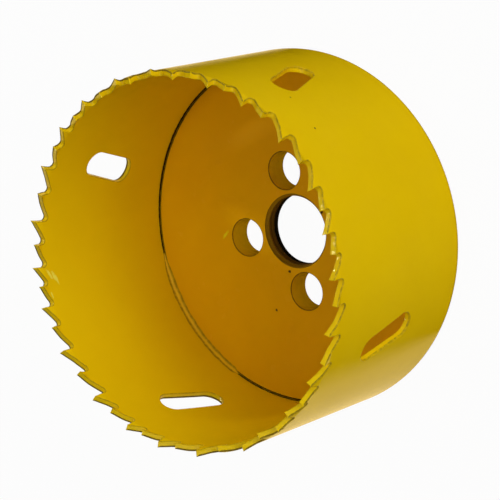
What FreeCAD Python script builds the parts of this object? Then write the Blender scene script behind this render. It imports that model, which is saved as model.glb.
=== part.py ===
import FreeCAD, Part
import math
import os
import Sketcher

# A bi-metal hole saw: a toothed strip rolled into a ring that stands on a thick tapped end cap.
# Millimetres. The origin is the centre of the cap's back face and +Z runs to the tooth tips.

os.makedirs("parts", exist_ok=True)
doc = FreeCAD.newDocument("hole_saw")


# Driving dimensions: name, value, what it is

SIZES = [
    ("wall_diameter", 75.1, "outer diameter of the rolled strip"),
    ("wall_thickness", 1.3, "thickness of the strip"),
    ("overall_height", 44.1, "back face to tooth tips"),
    ("cap_thickness", 5.1, "whole thickness of the end cap"),
    ("shoulder_height", 4.1, "back face to the shoulder that the wall stands on"),
    ("spigot_clearance", 0.28, "radial gap between the cap's spigot and the wall"),
    ("spigot_edge_bevel", 0.2, "bevel on the spigot's rim"),
    ("cap_edge_radius", 3.2, "rounding of the cap's back edge"),
    ("bore_diameter", 14.6, "centre hole, at the crests of the arbor thread"),
    ("bore_bevel", 0.55, "bevel of the centre hole inside the cup"),
    ("bore_lead_in", 1.2, "wider bevel at the back, where the arbor's thread starts"),
    ("pin_circle_diameter", 25.4, "circle that the drive pin holes lie on"),
    ("pin_hole_diameter", 7.9, "one drive pin hole"),
    ("pin_hole_count", 4, "number of drive pin holes"),
    ("pin_hole_angle", 33.5, "first drive pin hole, from +X toward +Y"),
    ("slot_length", 15.0, "knock-out slot, over its round ends"),
    ("slot_width", 5.4, "knock-out slot, across"),
    ("slot_lean", 18.0, "angle between a slot and the saw's axis"),
    ("slot_height", 24.0, "back face to the middle of a slot"),
    ("slot_count", 4, "number of knock-out slots"),
    ("tooth_set", 0.45, "how far a tooth is bent out or in at its tip"),
    ("set_height", 1.8, "height of the bent part of a tooth"),
    ("tooth_back_slope", 31.0, "angle of a tooth's back to the rim's plane"),
    ("tooth_rake", 5.0, "forward lean of a tooth's cutting face"),
    ("tip_land", 0.12, "flat on a tooth's tip, at the middle of its width"),
    ("gullet_radius", 0.7, "rounding at the bottom of a gullet"),
    ("least_gullet_radius", 0.15, "rounding of the tightest gullet"),
    ("gullet_below_bend", 0.05, "how far a gullet reaches below the bent part"),
    ("first_tooth_angle", -46.6, "first tooth after the strip's butt joint, from +X toward +Y"),
    ("pitch_one", 4.90, "first pitch of the repeating run of eight"),
    ("pitch_two", 4.85, "second pitch"),
    ("pitch_three", 3.95, "third pitch"),
    ("pitch_four", 4.40, "fourth pitch"),
    ("pitch_five", 4.40, "fifth pitch"),
    ("pitch_six", 5.35, "sixth pitch"),
    ("pitch_seven", 5.80, "seventh pitch"),
    ("pitch_eight", 6.10, "eighth pitch"),
]

sheet = doc.addObject("Spreadsheet::Sheet", "Sizes")
for row, (name, value, note) in enumerate(SIZES, start=1):
    sheet.set(f"A{row}", note)
    sheet.set(f"B{row}", str(value))
    sheet.setAlias(f"B{row}", name)
doc.recompute()


class Dim:
    """A length or angle: its value now, and the expression that binds it to the sheet."""

    def __init__(self, value, text):
        self.value = value
        self.text = text

    def combine(self, other, sign, result):
        text = other.text if isinstance(other, Dim) else str(other)
        return Dim(result, f"({self.text} {sign} {text})")

    def __add__(self, other):
        return self.combine(other, "+", self.value + plain(other))

    def __sub__(self, other):
        return self.combine(other, "-", self.value - plain(other))

    def __mul__(self, other):
        return self.combine(other, "*", self.value * plain(other))

    def __truediv__(self, other):
        return self.combine(other, "/", self.value / plain(other))


def plain(number):
    """The bare number of a Dim, or the number itself."""
    return number.value if isinstance(number, Dim) else number


def dim(name):
    """One driving dimension, ready to be combined and bound."""
    return Dim(float(sheet.get(name)), f"Sizes.{name}")


NOTHING = Dim(0.0, "0")

# Sizes that several pieces share
outer_radius = dim("wall_diameter") / 2
inner_radius = outer_radius - dim("wall_thickness")
rim_height = dim("overall_height")
bend_height = rim_height - dim("set_height")
shoulder = dim("shoulder_height")


# Helpers for bodies, sketches and features

def origin_feature(body, role):
    """One of a body's own origin planes or axes, found by its role."""
    return next(item for item in body.Origin.OriginFeatures if item.Role == role)


def new_sketch(body, name, role):
    """An empty sketch on one of the body's origin planes."""
    sketch = body.newObject("Sketcher::SketchObject", name)
    sketch.AttachmentSupport = [(origin_feature(body, role), "")]
    sketch.MapMode = "FlatFace"
    return sketch


def bind(sketch, kind, places, length, name):
    """Adds one dimension to a sketch, names it and binds it to the sheet."""
    index = sketch.addConstraint(Sketcher.Constraint(kind, *places, length.value))
    sketch.renameConstraint(index, name)
    sketch.setExpression(f"Constraints.{name}", length.text)


def place_corner(sketch, corner, across, up, name):
    """Holds the start of one edge at a bound distance from each sketch axis."""
    for kind, length, suffix in (("DistanceX", across, "across"), ("DistanceY", up, "up")):
        if length is NOTHING:
            axis = -2 if kind == "DistanceX" else -1
            sketch.addConstraint(Sketcher.Constraint("PointOnObject", corner, 1, axis))
        else:
            bind(sketch, kind, (-1, 1, corner, 1), length, f"{name}_{suffix}")


def section_sketch(body, name, corners):
    """A closed section of straight edges on the XZ plane, with every corner bound to the sheet."""
    sketch = new_sketch(body, name, "XZ_Plane")
    points = [FreeCAD.Vector(across.value, up.value, 0) for across, up in corners]
    for start, end in zip(points, points[1:] + points[:1]):
        sketch.addGeometry(Part.LineSegment(start, end), False)
    for edge in range(len(points)):
        after = (edge + 1) % len(points)
        sketch.addConstraint(Sketcher.Constraint("Coincident", edge, 2, after, 1))
    for edge, (across, up) in enumerate(corners):
        place_corner(sketch, edge, across, up, f"corner_{edge}")
    return sketch


def revolved_body(name, corners):
    """A body turned about Z from one section."""
    body = doc.addObject("PartDesign::Body", name)
    sketch = section_sketch(body, f"{name}_section", corners)
    turn = body.newObject("PartDesign::Revolution", f"{name}_turned")
    turn.Profile = sketch
    turn.ReferenceAxis = (sketch, ["V_Axis"])
    turn.Angle = 360
    doc.recompute()
    return body


def circle_edges(body, radius, height):
    """Names of the body's round edges of one radius that lie at one height."""
    found = []
    for number, edge in enumerate(body.Shape.Edges, start=1):
        curve = edge.Curve
        if isinstance(curve, Part.Circle) and abs(curve.Radius - radius.value) < 1e-4:
            if abs(curve.Center.z - height.value) < 1e-4 and abs(curve.Axis.z) > 0.999:
                found.append(f"Edge{number}")
    return found


def edge_feature(body, kind, name, edges, length):
    """A fillet or chamfer on named edges of the body, bound to the sheet."""
    feature = body.newObject(kind, name)
    feature.Base = (body.Tip if body.Tip is not feature else feature.BaseFeature, edges)
    cell = "Radius" if kind == "PartDesign::Fillet" else "Size"
    feature.setExpression(cell, length.text)
    body.Tip = feature
    doc.recompute()
    return feature


def through_pocket(body, name, sketch, outward):
    """Cuts a sketch through the body, along the sketch's own normal when outward is true."""
    pocket = body.newObject("PartDesign::Pocket", name)
    pocket.Profile = sketch
    pocket.Type = 1
    pocket.Reversed = outward
    doc.recompute()
    return pocket


def around_axis(body, name, feature, count):
    """Repeats one feature evenly about the body's Z axis."""
    pattern = body.newObject("PartDesign::PolarPattern", name)
    pattern.Originals = [feature]
    pattern.Axis = (origin_feature(body, "Z_Axis"), [""])
    pattern.Angle = 360
    pattern.setExpression("Occurrences", count.text)
    body.Tip = pattern
    doc.recompute()
    return pattern


# End cap: a thick turned disc with a spigot, tapped in the middle and drilled for the drive pins

def make_end_cap():
    spigot_radius = inner_radius - dim("spigot_clearance")
    top = dim("cap_thickness")
    body = revolved_body("end_cap", [
        (NOTHING, NOTHING),
        (outer_radius, NOTHING),
        (outer_radius, shoulder),
        (spigot_radius, shoulder),
        (spigot_radius, top),
        (NOTHING, top),
    ])
    edge_feature(body, "PartDesign::Fillet", "round_back_edge", circle_edges(body, outer_radius, NOTHING),
                 dim("cap_edge_radius"))
    edge_feature(body, "PartDesign::Chamfer", "spigot_rim", circle_edges(body, spigot_radius, top),
                 dim("spigot_edge_bevel"))

    bore_radius = dim("bore_diameter") / 2
    bore_sketch = new_sketch(body, "bore_outline", "XY_Plane")
    bore_sketch.addGeometry(Part.Circle(FreeCAD.Vector(0, 0, 0), FreeCAD.Vector(0, 0, 1), bore_radius.value))
    bore_sketch.addConstraint(Sketcher.Constraint("Coincident", 0, 3, -1, 1))
    bind(bore_sketch, "Radius", (0,), bore_radius, "bore_radius")
    body.Tip = through_pocket(body, "bore", bore_sketch, True)
    for height, size in ((NOTHING, "bore_lead_in"), (top, "bore_bevel")):
        edge_feature(body, "PartDesign::Chamfer", f"{size}_cut", circle_edges(body, bore_radius, height),
                     dim(size))

    pin_sketch = new_sketch(body, "pin_hole_outline", "XY_Plane")
    pin_circle = dim("pin_circle_diameter") / 2
    angle = dim("pin_hole_angle")
    turn = math.radians(angle.value)
    centre = FreeCAD.Vector(pin_circle.value * math.cos(turn), pin_circle.value * math.sin(turn), 0)
    pin_sketch.addGeometry(Part.LineSegment(FreeCAD.Vector(0, 0, 0), centre), True)
    pin_sketch.addGeometry(Part.Circle(centre, FreeCAD.Vector(0, 0, 1), plain(dim("pin_hole_diameter") / 2)))
    pin_sketch.addConstraint(Sketcher.Constraint("Coincident", 0, 1, -1, 1))
    pin_sketch.addConstraint(Sketcher.Constraint("Coincident", 1, 3, 0, 2))
    bind(pin_sketch, "Distance", (0,), pin_circle, "pin_circle_radius")
    bind(pin_sketch, "Radius", (1,), dim("pin_hole_diameter") / 2, "pin_hole_radius")
    turned = pin_sketch.addConstraint(Sketcher.Constraint("Angle", -1, 1, 0, 1, turn))
    pin_sketch.renameConstraint(turned, "pin_hole_turn")
    pin_sketch.setExpression("Constraints.pin_hole_turn", angle.text + " * 1 deg")
    hole = through_pocket(body, "pin_hole", pin_sketch, True)
    around_axis(body, "pin_holes", hole, dim("pin_hole_count"))
    return body


# Cup wall: the rolled strip, first as a plain ring whose rim carries the full width of the set

def slot_sketch(body):
    """A leaning slot with round ends, on the plane that faces +X."""
    half_run = (dim("slot_length") - dim("slot_width")) / 2
    end_radius = dim("slot_width") / 2
    lean = math.radians(dim("slot_lean").value)
    along = FreeCAD.Vector(-math.sin(lean), math.cos(lean), 0)
    side = FreeCAD.Vector(math.cos(lean), math.sin(lean), 0)
    middle = FreeCAD.Vector(0, dim("slot_height").value, 0)
    low = middle - along * half_run.value
    high = middle + along * half_run.value
    reach = side * end_radius.value

    sketch = new_sketch(body, "slot_outline", "YZ_Plane")
    sketch.addGeometry(Part.LineSegment(low, high), True)
    sketch.addGeometry(Part.LineSegment(low + reach, high + reach), False)
    sketch.addGeometry(Part.Arc(high + reach, high + along * end_radius.value, high - reach), False)
    sketch.addGeometry(Part.LineSegment(high - reach, low - reach), False)
    sketch.addGeometry(Part.Arc(low - reach, low - along * end_radius.value, low + reach), False)
    sketch.addGeometry(Part.Point(middle), True)
    for first, first_end, second, second_end in ((1, 2, 2, 1), (2, 2, 3, 1), (3, 2, 4, 1), (4, 2, 1, 1)):
        sketch.addConstraint(Sketcher.Constraint("Tangent", first, first_end, second, second_end))
    sketch.addConstraint(Sketcher.Constraint("Coincident", 2, 3, 0, 2))
    sketch.addConstraint(Sketcher.Constraint("Coincident", 4, 3, 0, 1))
    sketch.addConstraint(Sketcher.Constraint("Symmetric", 0, 1, 0, 2, 5, 1))
    sketch.addConstraint(Sketcher.Constraint("PointOnObject", 5, 1, -2))
    bind(sketch, "DistanceY", (-1, 1, 5, 1), dim("slot_height"), "slot_middle")
    bind(sketch, "Radius", (2,), end_radius, "slot_end")
    bind(sketch, "Distance", (0,), half_run * 2, "slot_run")
    turned = sketch.addConstraint(Sketcher.Constraint("Angle", -1, 1, 0, 1, math.pi / 2 + lean))
    sketch.renameConstraint(turned, "slot_turn")
    sketch.setExpression("Constraints.slot_turn", "(90 + Sizes.slot_lean) * 1 deg")
    return sketch


def make_wall_ring():
    tooth_set = dim("tooth_set")
    body = revolved_body("wall_ring", [
        (inner_radius, shoulder),
        (outer_radius, shoulder),
        (outer_radius, bend_height),
        (outer_radius + tooth_set, rim_height),
        (inner_radius - tooth_set, rim_height),
        (inner_radius, bend_height),
    ])
    slot = through_pocket(body, "slot", slot_sketch(body), True)
    around_axis(body, "slots", slot, dim("slot_count"))
    return body


# Teeth: where each one stands along the strip, and the gullets and bends between them

def strip_teeth():
    """Where each tooth stands along the strip, and the pitch to the next.

    The run of eight pitches repeats until the ring is full. The strip's ends meet at its butt joint,
    so the last pitch takes what is left, and an odd last tooth is dropped to keep the set alternate.
    """
    run = [dim(name).value for name, value, note in SIZES if name.startswith("pitch_")]
    length = 2 * math.pi * outer_radius.value
    starts = [0.0]
    while starts[-1] + run[(len(starts) - 1) % len(run)] + min(run) * 0.8 < length:
        starts.append(starts[-1] + run[(len(starts) - 1) % len(run)])
    if len(starts) % 2:
        starts.pop()
    return [(start, end - start) for start, end in zip(starts, starts[1:] + [length])]


class Gullet:
    """The gap between two teeth, measured along the strip from the first tooth's cutting edge."""

    def __init__(self, pitch):
        back = math.radians(dim("tooth_back_slope").value)
        rake = math.radians(dim("tooth_rake").value)
        run = pitch - dim("tip_land").value
        spread = math.cos(back) - math.sin(back) * math.tan(rake)
        round_share = 1 + math.sin(back) / math.cos(rake)
        least_depth = dim("set_height").value + dim("gullet_below_bend").value
        tightest = (run * math.sin(back) - least_depth * spread) / (round_share - spread)
        radius = max(min(dim("gullet_radius").value, tightest), dim("least_gullet_radius").value)
        self.pitch = pitch
        self.radius = radius
        self.centre_depth = (run * math.sin(back) - radius * round_share) / spread
        self.centre = pitch + (self.centre_depth * math.sin(rake) - radius) / math.cos(rake)
        self.back = back
        self.rake = rake

    def cutter(self, start, near, far):
        """A solid that cuts the gap which starts at one place on the strip, straight out from the axis.

        Widths are taken at the middle of the strip's thickness, where the teeth are milled to size.
        """
        middle = (inner_radius.value + outer_radius.value) / 2
        frame = turned_frame(start + self.pitch / 2)

        def point(along, height):
            across = (along - self.pitch / 2) * middle / outer_radius.value
            return frame.multVec(FreeCAD.Vector(near, across, height))

        rim = rim_height.value
        top = rim + 1.0
        floor = rim - self.centre_depth
        reach = self.radius
        land = dim("tip_land").value
        start_of_back = point(land, rim)
        back_foot = point(self.centre - reach * math.sin(self.back), floor - reach * math.cos(self.back))
        bottom = point(self.centre, floor - reach)
        face_foot = point(self.centre + reach * math.cos(self.rake), floor + reach * math.sin(self.rake))
        tip = point(self.pitch, rim)
        over_tip = point(self.pitch, top)
        over_start = point(land, top)
        outline = Part.Wire([
            Part.makeLine(start_of_back, back_foot),
            Part.Edge(Part.Arc(back_foot, bottom, face_foot)),
            Part.makeLine(face_foot, tip),
            Part.makeLine(tip, over_tip),
            Part.makeLine(over_tip, over_start),
            Part.makeLine(over_start, start_of_back),
        ])
        outward = frame.Rotation.multVec(FreeCAD.Vector(far - near, 0, 0))
        return Part.Face(outline).extrude(outward)


def turned_frame(along_strip):
    """The placement whose X axis points out through one place on the strip."""
    angle = dim("first_tooth_angle").value + math.degrees(along_strip / outer_radius.value)
    return FreeCAD.Placement(FreeCAD.Vector(0, 0, 0), FreeCAD.Rotation(FreeCAD.Vector(0, 0, 1), angle))


def gullet_cutters(teeth):
    """One cutter for each gap between two teeth."""
    clear = 2 * dim("tooth_set").value + 0.5
    near = inner_radius.value - clear
    far = outer_radius.value + clear
    return [Gullet(pitch).cutter(start, near, far) for start, pitch in teeth]


def set_cutters(teeth):
    """Cutters that leave every other tooth bent outward and the rest inward.

    Each takes the material on the side that its tooth leans away from, between the middles of the
    gullets on both sides of it.
    """
    over = 1.0
    slope = dim("tooth_set").value / dim("set_height").value
    lean = slope * (dim("set_height").value + over)
    low = bend_height.value
    top = rim_height.value + over
    clear = 2 * dim("tooth_set").value + 0.5
    half_gap = 0.05
    cutters = []
    middles = [start + Gullet(pitch).centre for start, pitch in teeth]
    length = teeth[-1][0] + teeth[-1][1]
    befores = [middles[-1] - length] + middles[:-1]
    for number, (begin, end) in enumerate(zip(befores, middles)):
        outward = number % 2 == 0
        face = inner_radius.value if outward else outer_radius.value
        away = face - clear if outward else face + clear
        tilt = face + lean if outward else face - lean
        corners = [(face, low), (tilt, top), (away, top), (away, low), (face, low)]
        section = Part.Face(Part.makePolygon([FreeCAD.Vector(x, 0, z) for x, z in corners]))
        section.Placement = turned_frame(begin + half_gap)
        sweep = math.degrees((end - begin - 2 * half_gap) / outer_radius.value)
        cutters.append(section.revolve(FreeCAD.Vector(0, 0, 0), FreeCAD.Vector(0, 0, 1), sweep))
    return cutters


def cut_away(name, base, cutters):
    """Subtracts a named group of cutters from a named base."""
    group = doc.addObject("Part::Feature", f"{name}_cutters")
    group.Shape = Part.makeCompound(cutters)
    cut = doc.addObject("Part::Cut", name)
    cut.Base = base
    cut.Tool = group
    doc.recompute()
    return cut


def make_cup_wall():
    teeth = strip_teeth()
    ring = make_wall_ring()
    bent = cut_away("bent_rim", ring, set_cutters(teeth))
    return cut_away("cup_wall", bent, gullet_cutters(teeth))


# Build, check and write each piece

pieces = [make_end_cap(), make_cup_wall()]
doc.recompute()
for item in doc.Objects:
    if "Invalid" in item.State or "Error" in item.State:
        raise RuntimeError(f"{item.Label} did not build: {item.State}")
for piece in pieces:
    piece.Label = piece.Name
    shape = piece.Shape
    if shape.isNull() or not shape.isValid() or len(shape.Solids) != 1:
        raise RuntimeError(f"{piece.Label} is not one valid solid")
    shape.exportStep(f"parts/{piece.Label}.step")
    box = shape.BoundBox
    print(piece.Label, "volume", round(shape.Volume, 1), "faces", len(shape.Faces),
          "box", [round(v, 2) for v in (box.XMin, box.XMax, box.YMin, box.YMax, box.ZMin, box.ZMax)])
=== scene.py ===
# %% [markdown]
# # A lacquered hole saw
# A hole saw is a steel cup. Its wall is a strip with teeth milled along one edge, rolled into a ring, and
# its bottom is a thick disc that screws onto a drill's arbor. The whole thing is dipped in yellow lacquer,
# which rounds every edge a little and gathers in the inner corner.
#
# The shape is already fixed by the measured frame, so this script first loads that. Then it builds a finer
# skin for both pieces, with the same sizes, and gives them their finish.

# %% Load the measured frame
import math
import bpy
import numpy as np
from mathutils import Matrix, Vector, geometry


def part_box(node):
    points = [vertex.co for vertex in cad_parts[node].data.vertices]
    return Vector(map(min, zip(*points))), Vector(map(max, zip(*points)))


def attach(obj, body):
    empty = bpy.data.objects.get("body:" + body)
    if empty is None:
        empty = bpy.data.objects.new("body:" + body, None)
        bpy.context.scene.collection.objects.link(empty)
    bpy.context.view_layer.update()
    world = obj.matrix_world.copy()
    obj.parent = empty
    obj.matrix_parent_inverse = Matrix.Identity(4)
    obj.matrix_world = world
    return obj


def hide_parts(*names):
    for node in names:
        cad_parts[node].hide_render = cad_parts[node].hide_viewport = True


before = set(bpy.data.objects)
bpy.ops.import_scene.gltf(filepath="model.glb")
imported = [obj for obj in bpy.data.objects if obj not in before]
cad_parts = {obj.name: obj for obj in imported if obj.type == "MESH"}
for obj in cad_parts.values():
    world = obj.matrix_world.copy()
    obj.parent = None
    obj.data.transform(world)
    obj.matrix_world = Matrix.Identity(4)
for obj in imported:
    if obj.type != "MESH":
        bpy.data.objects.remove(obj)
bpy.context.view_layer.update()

print("nodes in the frame:", sorted(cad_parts))

# %% [markdown]
# ## Sizes
# Millimetres suit small machined things, so every shape below is worked out in them and turned into metres
# only when its mesh is made. The sizes repeat those of the frame, so that the skin covers the solids.

# %% Sizes of the wall and the cap
MM = 0.001
OUTER = 37.55
THICK = 1.3
INNER = OUTER - THICK
SHOULDER = 4.1
RIM = 44.1
CAP_TOP = 5.1
JOINT_GAP = 0.28
SPIGOT = INNER - JOINT_GAP
ROUND = 3.2
AROUND = 2 * math.pi * OUTER
wall_low, wall_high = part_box("cup_wall")
_, cap_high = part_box("end_cap")
print("wall height here and in the frame:", (RIM - SHOULDER) * MM, wall_high[2] - wall_low[2])
print("cap radius here and in the frame:", OUTER * MM, cap_high[0])

# %% [markdown]
# ## The camera
# The saw is seen from above and to one side with a long lens, and the picture is turned so far that the
# saw's axis lies almost level in it. A camera can be turned by typing angles, but three plain facts are
# easier to check: where it stands, what it looks at, and which way is up in the picture. The three axes
# follow from them.

# %% Camera
def placed(name, data):
    """A new object in the scene."""
    made = bpy.data.objects.new(name, data)
    bpy.context.scene.collection.objects.link(made)
    return made


def aimed(place, target, picture_up):
    """A placement that looks from place to target, with picture_up as the top of the picture."""
    ahead = (Vector(target) - Vector(place)).normalized()
    right = ahead.cross(Vector(picture_up)).normalized()
    up = right.cross(ahead)
    turned = Matrix((right, up, -ahead)).transposed().to_4x4()
    turned.translation = Vector(place)
    return turned


PICTURE_UP = (0.45925, -0.87104, -0.17430)
CAMERA_PLACE = (-0.21190, -0.17932, 0.36519)
CAMERA_TARGET = (0.01223, 0.01192, 0.0)
camera_data = bpy.data.cameras.new("long_lens")
camera_data.lens = 158.79
camera_data.sensor_width = 36.0
camera_data.clip_start = 0.01
camera = placed("long_lens", camera_data)
camera.matrix_world = aimed(CAMERA_PLACE, CAMERA_TARGET, PICTURE_UP)
bpy.context.scene.camera = camera
print("camera distance in metres:", round((Vector(CAMERA_PLACE) - Vector(CAMERA_TARGET)).length, 4))

# %% [markdown]
# ## Small helpers for node trees
# Wiring a material's nodes one by one gets long, so helpers do the repeating. The first fills a node's
# inputs, each with a plain value or with the output that feeds it. The others add the kinds of node that
# come up most, and give back the one output that is needed.

# %% Node helpers
def fill(tree, node, values):
    """Gives each named input its plain value, or joins it to the output that feeds it."""
    for key, value in values.items():
        if isinstance(value, bpy.types.NodeSocket):
            tree.links.new(value, node.inputs[key])
        else:
            node.inputs[key].default_value = value
    return node


def add_node(tree, kind, values=None, **settings):
    """One new node, with its settings and its inputs filled."""
    node = tree.nodes.new(kind)
    for key, value in settings.items():
        setattr(node, key, value)
    return fill(tree, node, values or {})


def maths(tree, operation, *values, clamp=False):
    """The result of one Math node."""
    node = add_node(tree, "ShaderNodeMath", dict(enumerate(values)), operation=operation, use_clamp=clamp)
    return node.outputs[0]


def vectors(tree, operation, *values):
    """The result of one Vector Math node: a number for a length, a distance or a dot product."""
    node = add_node(tree, "ShaderNodeVectorMath", dict(enumerate(values)), operation=operation)
    return node.outputs["Value" if operation in ("LENGTH", "DISTANCE", "DOT_PRODUCT") else "Vector"]


def stretched(tree, value, low, high, start=0.0, end=1.0, smooth=False):
    """A value between low and high, stretched to run from start to end."""
    values = {"Value": value, "From Min": low, "From Max": high, "To Min": start, "To Max": end}
    kind = "SMOOTHSTEP" if smooth else "LINEAR"
    return add_node(tree, "ShaderNodeMapRange", values, interpolation_type=kind).outputs["Result"]


def noise(tree, place, scale, detail, roughness=0.5):
    """Cloudy noise round a half. The larger the scale is, the smaller the clouds are."""
    values = {"Vector": place, "Scale": scale, "Detail": detail, "Roughness": roughness}
    return add_node(tree, "ShaderNodeTexNoise", values).outputs["Fac"]


def blended(tree, share, first, second):
    """The first colour, covered with the second where the share is 1."""
    values = {"Factor": share, "A": first, "B": second}
    return add_node(tree, "ShaderNodeMix", values, data_type="RGBA").outputs["Result"]


# %% [markdown]
# ## Helpers for groups
# An effect that several materials use is a shader node group: it is built once, with named inputs and
# outputs, and placed in each material with that material's own values. Three helpers open a group, close it
# and place it.

# %% Group helpers
FLOAT, COLOUR, VECTOR = "NodeSocketFloat", "NodeSocketColor", "NodeSocketVector"
PLACE = ("Place", VECTOR, (0, 0, 0))


def new_group(name, inputs, outputs):
    """An empty group with inputs (name, kind, value) and outputs (name, kind): its tree, inputs and end."""
    tree = bpy.data.node_groups.new(name, "ShaderNodeTree")
    for title, kind, value in inputs:
        tree.interface.new_socket(title, in_out="INPUT", socket_type=kind).default_value = value
    for title, kind in outputs:
        tree.interface.new_socket(title, in_out="OUTPUT", socket_type=kind)
    return tree, tree.nodes.new("NodeGroupInput").outputs, tree.nodes.new("NodeGroupOutput")


def closed_group(tree, end, results):
    """The group with its results joined to its end."""
    fill(tree, end, results)
    print("group", tree.name, "has", len(tree.nodes), "nodes")
    return tree


def place_group(tree, group, values):
    """The outputs of one use of a group, filled with this material's own values."""
    return add_node(tree, "ShaderNodeGroup", values, node_tree=group).outputs


# %% [markdown]
# ## The lacquer's surface
# Dipped lacquer is never as flat as a mirror. It dries with a faint skin like orange peel, a millimetre or
# so across, over longer and softer waves where it ran. Both are heights, so one group adds them up and each
# material sends the sum through its own Bump node.

# %% Group: lacquer skin
def build_lacquer_skin():
    tree, given, end = new_group(
        "lacquer_skin",
        [PLACE, ("Peel size", FLOAT, 900.0), ("Peel", FLOAT, 0.3), ("Run size", FLOAT, 90.0),
         ("Run", FLOAT, 1.0)],
        [("Height", FLOAT)])
    peel = noise(tree, given["Place"], given["Peel size"], 1.5, 0.45)
    run = noise(tree, given["Place"], given["Run size"], 2.0)
    peel_part = maths(tree, "MULTIPLY", peel, given["Peel"])
    return closed_group(tree, end, {"Height": maths(tree, "MULTIPLY_ADD", run, given["Run"], peel_part)})


lacquer_skin = build_lacquer_skin()

# %% [markdown]
# ## The lacquer's colour
# A clear coloured lacquer is deeper where it is thick and paler where it is thin. It draws back from sharp
# edges, and there the dark steel starts to show through. The dark edge colour is partly that and partly
# painted shade, a dark outline along the edges. The meshes below carry a value named "rim" that is about 1 on
# a rounded edge and 0 on the open faces, and this group uses it. Fine noise makes the edge's border ragged,
# and slow noise makes the thickness wander.

# %% Group: lacquer colour
def build_lacquer_colour():
    tree, given, end = new_group(
        "lacquer_colour",
        [PLACE, ("Rim", FLOAT, 0.0), ("Thin", COLOUR, (1, 1, 1, 1)), ("Deep", COLOUR, (1, 1, 1, 1)),
         ("Edge", COLOUR, (0, 0, 0, 1)), ("Cloud size", FLOAT, 60.0), ("Edge share", FLOAT, 0.5)],
        [("Colour", COLOUR), ("Edge mask", FLOAT)])
    cloud = noise(tree, given["Place"], given["Cloud size"], 3.0, 0.55)
    body = blended(tree, stretched(tree, cloud, 0.32, 0.68), given["Thin"], given["Deep"])
    grain = noise(tree, given["Place"], 1400.0, 2.0, 0.6)
    ragged = maths(tree, "MULTIPLY_ADD", grain, 0.5, given["Rim"])
    bare_and_shaded = stretched(tree, ragged, 0.80, 1.30, smooth=True)
    mask = maths(tree, "MULTIPLY", bare_and_shaded, given["Edge share"])
    return closed_group(tree, end, {"Colour": blended(tree, mask, body, given["Edge"]), "Edge mask": mask})


lacquer_colour = build_lacquer_colour()

# %% [markdown]
# ## Specks, scratches and painted glints
# Dust that settles on wet lacquer leaves small dark pits, and a knock leaves a short pale scratch. The same
# pale streaks also serve as painted glints. The few that are big enough to see lie at known places, so this
# group asks how far a point is from one place. Squeezing that distance along one direction turns a dot into a
# streak, and noise keeps both from being perfect.

# %% Group: speck
def build_speck():
    tree, given, end = new_group(
        "speck",
        [PLACE, ("Centre", VECTOR, (0, 0, 0)), ("Along", VECTOR, (1, 0, 0)), ("Radius", FLOAT, 0.0003),
         ("Squeeze", FLOAT, 0.0)],
        [("Mask", FLOAT)])
    local = vectors(tree, "SUBTRACT", given["Place"], given["Centre"])
    drop = maths(tree, "MULTIPLY", vectors(tree, "DOT_PRODUCT", local, given["Along"]), given["Squeeze"])
    values = {0: given["Along"], "Scale": drop}
    part = add_node(tree, "ShaderNodeVectorMath", values, operation="SCALE").outputs[0]
    reach = maths(tree, "DIVIDE", vectors(tree, "DISTANCE", local, part), given["Radius"])
    ragged = maths(tree, "ADD", reach, noise(tree, given["Place"], 2500.0, 1.0))
    return closed_group(tree, end, {"Mask": stretched(tree, ragged, 1.0, 1.6, 1.0, 0.0, smooth=True)})


speck = build_speck()

# %% [markdown]
# ## Dirt and painted shade along the joint
# Inside the saw the wall and the cap meet in a round slit, in the inner corner. The lacquer creeps back from
# its lips and dirt stays there, and the corner lies in shade, so a dark line of dirt and painted shade runs
# beside it, wider on one side of the saw. What counts is how far a point is from the slit's circle, which is
# a distance in radius and height, and this group works that out.

# %% Group: joint dirt and painted shade
def build_joint_dirt_and_shade():
    tree, given, end = new_group(
        "joint_dirt_and_shade",
        [PLACE, ("Circle radius", FLOAT, 0.036), ("Circle height", FLOAT, 0.005), ("Width", FLOAT, 0.0003),
         ("Wide side", VECTOR, (1, 0, 0)), ("Extra", FLOAT, 0.0002)],
        [("Mask", FLOAT)])
    apart = add_node(tree, "ShaderNodeSeparateXYZ", {0: given["Place"]}).outputs
    level = add_node(tree, "ShaderNodeCombineXYZ", {"X": apart["X"], "Y": apart["Y"]}).outputs[0]
    across = maths(tree, "SUBTRACT", vectors(tree, "LENGTH", level), given["Circle radius"])
    above = maths(tree, "SUBTRACT", apart["Z"], given["Circle height"])
    both = add_node(tree, "ShaderNodeCombineXYZ", {"X": across, "Y": above}).outputs[0]
    away = vectors(tree, "LENGTH", both)
    facing = vectors(tree, "DOT_PRODUCT", given["Place"], given["Wide side"])
    widening = stretched(tree, maths(tree, "DIVIDE", facing, given["Circle radius"]), 0.45, 0.85)
    width = maths(tree, "MULTIPLY_ADD", widening, given["Extra"], given["Width"])
    ragged = maths(tree, "ADD", maths(tree, "DIVIDE", away, width), noise(tree, given["Place"], 1100.0, 2.0))
    return closed_group(tree, end, {"Mask": stretched(tree, ragged, 1.1, 1.8, 1.0, 0.0, smooth=True)})


joint_dirt_and_shade = build_joint_dirt_and_shade()

# %% [markdown]
# ## Lacquer over steel
# The wall and the cap share one recipe: a Principled shader whose colour comes from the colour group,
# darkened at the pits and along the joint by dirt and painted shade, paler at the scratches and at the
# painted glints, whose normal is bumped by the skin, and which is dull and rough where the edges are worn.
# The sheen that such a lacquer shows face on is golden, not white, because its colour lies in the clear coat
# itself. That is what Specular Tint is for. At a grazing angle it turns white by itself, as the real one
# does.

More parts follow.
